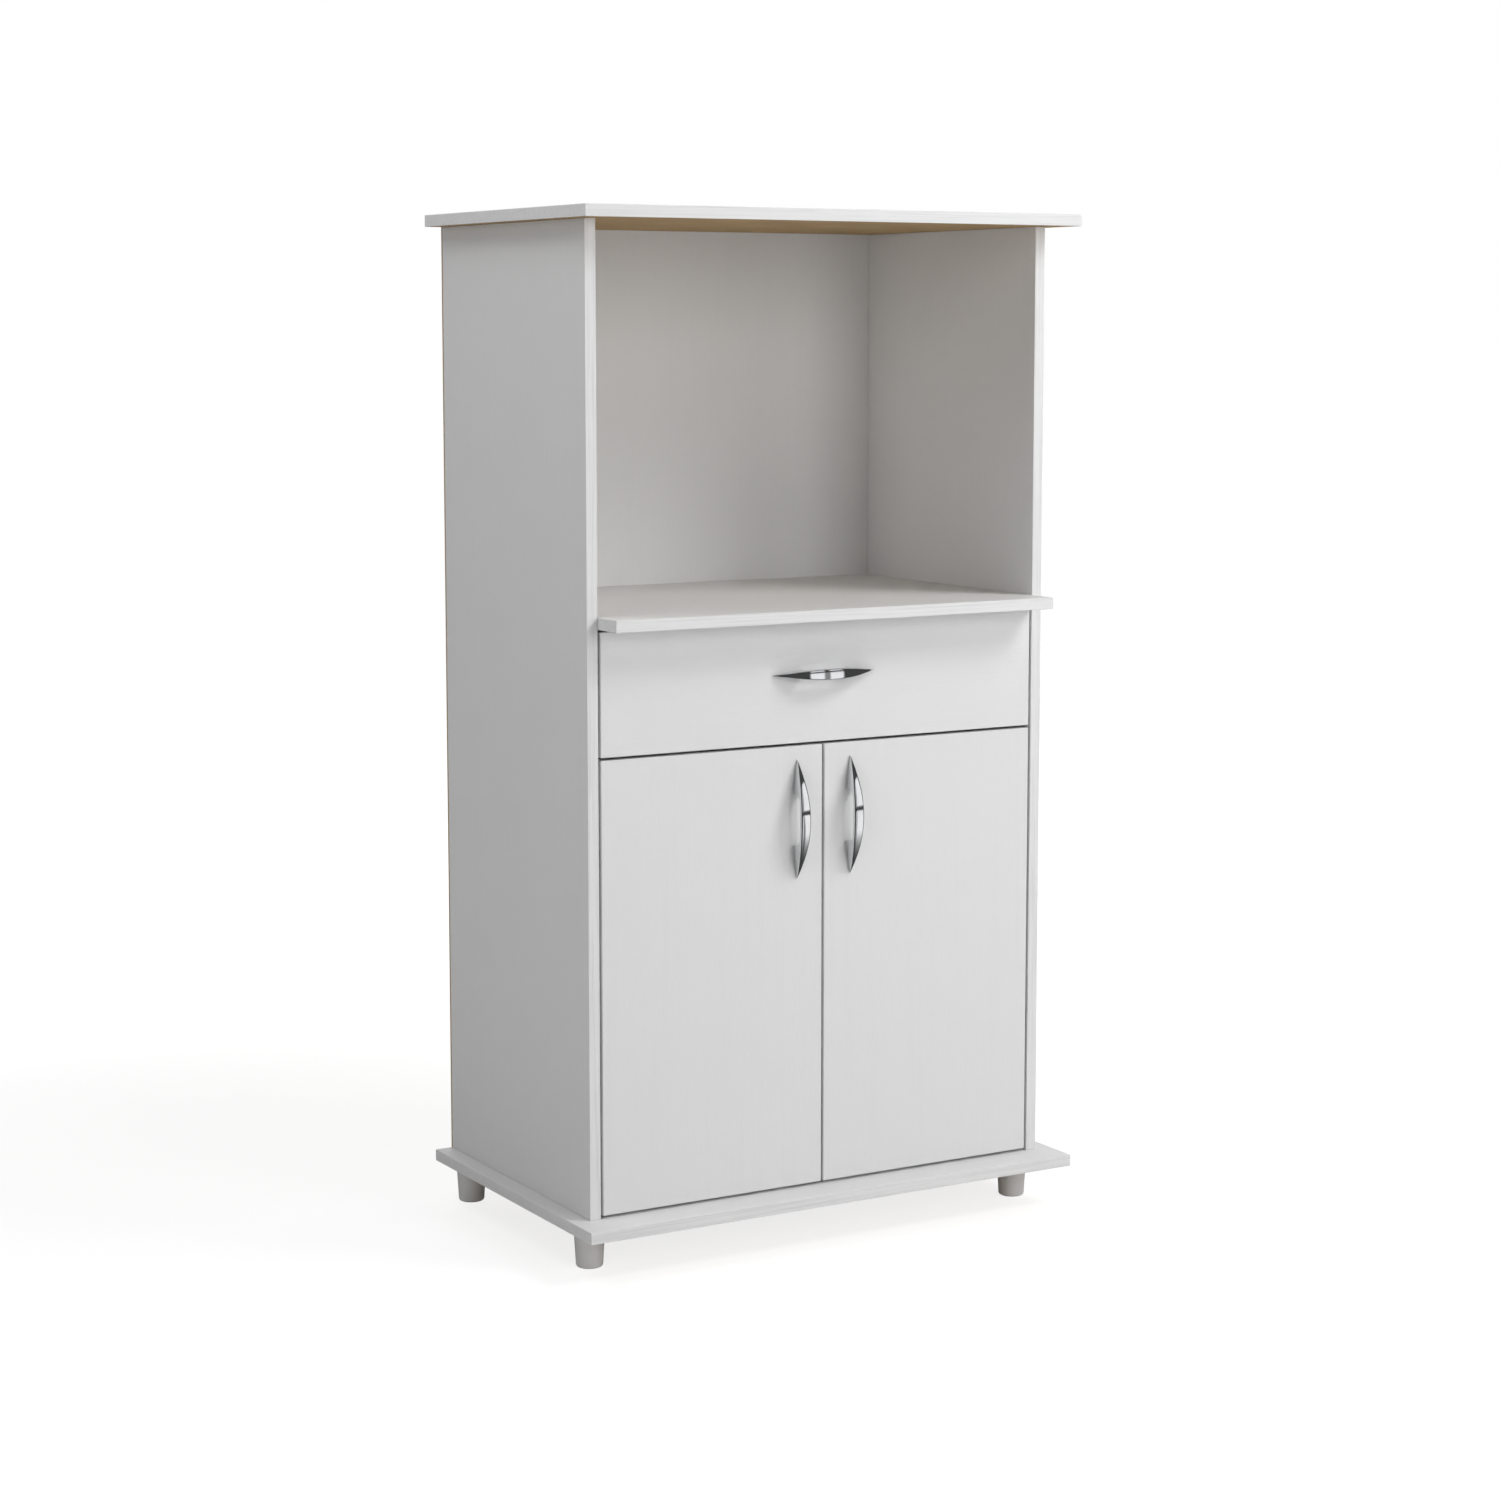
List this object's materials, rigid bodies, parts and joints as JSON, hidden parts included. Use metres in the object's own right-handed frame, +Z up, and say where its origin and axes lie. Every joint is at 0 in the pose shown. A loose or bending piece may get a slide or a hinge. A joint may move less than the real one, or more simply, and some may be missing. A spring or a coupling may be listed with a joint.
{
  "type": "kitchen cabinet",
  "caption": "Free-standing tall kitchen cabinet: an open niche over a drawer on roller runners and a pair of inset doors, on tapered feet.",
  "frame": {"origin": "on the floor under the middle of the cabinet's footprint", "axes": "+Z up, -Y towards the front with the doors and the drawer, +X to the right seen from the front"},
  "size_m": [0.6, 0.378, 1.0915],
  "materials": {
    "laminate": "white melamine laminate on particleboard, satin, with a faint fine grain",
    "back_sheet": "white-faced hardboard sheet, satin",
    "handle_chrome": "polished chrome",
    "steel": "bright zinc-plated steel",
    "zinc": "nickel-plated die-cast zinc, satin",
    "brass_insert": "turned brass",
    "runner_coat": "white epoxy-coated steel",
    "nylon": "natural nylon",
    "foot_plastic": "moulded pale plastic, satin",
    "beech": "fluted raw beech"
  },
  "bodies": {
    "carcass": {"top_board": "laminate", "base_board": "laminate", "left_side_panel": "laminate", "right_side_panel": "laminate", "niche_shelf": "laminate", "back_panel": "back_sheet", "inner_shelf": "laminate", "shelf_pins": "steel", "panel_screws": "steel", "panel_dowels": "beech", "shelf_cam_bolts": "steel", "shelf_cam_locks": "zinc", "back_nails": "steel", "front_left_foot": "foot_plastic", "front_right_foot": "foot_plastic", "rear_left_foot": "foot_plastic", "rear_right_foot": "foot_plastic", "foot_studs": "steel", "foot_insert_nuts": "brass_insert", "left_cabinet_runner": "runner_coat", "right_cabinet_runner": "runner_coat", "cabinet_runner_screws": "steel", "front_roller_axles": "steel", "left_hinge_arms": "zinc", "right_hinge_arms": "zinc", "left_hinge_plates": "zinc", "right_hinge_plates": "zinc", "hinge_plate_screws": "steel", "hinge_arm_screws": "steel"},
    "front_rollers": {"left_front_roller": "nylon", "right_front_roller": "nylon"},
    "drawer": {"drawer_front": "laminate", "left_drawer_side": "laminate", "right_drawer_side": "laminate", "drawer_back": "laminate", "drawer_bottom": "back_sheet", "drawer_dowels": "beech", "drawer_cam_bolts": "steel", "drawer_cam_locks": "zinc", "left_drawer_runner": "runner_coat", "right_drawer_runner": "runner_coat", "drawer_runner_screws": "steel", "rear_roller_axles": "steel", "drawer_handle": "handle_chrome", "drawer_handle_screws": "steel"},
    "rear_rollers": {"left_rear_roller": "nylon", "right_rear_roller": "nylon"},
    "left_door": {"left_door": "laminate", "left_door_handle": "handle_chrome", "left_door_handle_screws": "steel", "left_hinge_cups": "zinc", "left_hinge_pins": "steel", "left_cup_screws": "steel"},
    "right_door": {"right_door": "laminate", "right_door_handle": "handle_chrome", "right_door_handle_screws": "steel", "right_hinge_cups": "zinc", "right_hinge_pins": "steel", "right_cup_screws": "steel"}
  },
  "joints": [
    {"name": "drawer_slide", "type": "slide", "parent": "carcass", "child": "drawer", "axis": [0, -1, 0], "range_m": [0, 0.22]},
    {"name": "left_door_hinge", "type": "hinge", "parent": "carcass", "child": "left_door", "pos_m": [-0.257, -0.143, 0.2965], "axis": [0, 0, -1], "range_deg": [0, 95]},
    {"name": "right_door_hinge", "type": "hinge", "parent": "carcass", "child": "right_door", "pos_m": [0.257, -0.143, 0.2965], "axis": [0, 0, 1], "range_deg": [0, 95]},
    {"name": "front_roller_spin", "type": "hinge", "parent": "carcass", "child": "front_rollers", "pos_m": [0, -0.125, 0.56], "axis": [1, 0, 0], "range_deg": [0, 1805]},
    {"name": "rear_roller_spin", "type": "hinge", "parent": "drawer", "child": "rear_rollers", "pos_m": [0, 0.1515, 0.5583], "axis": [1, 0, 0], "range_deg": [0, 1805]}
  ],
  "couplings": [
    {"joint": "front_roller_spin", "follows": "drawer_slide", "rad_per_m": 142.86},
    {"joint": "rear_roller_spin", "follows": "drawer_slide", "rad_per_m": 142.86}
  ]
}
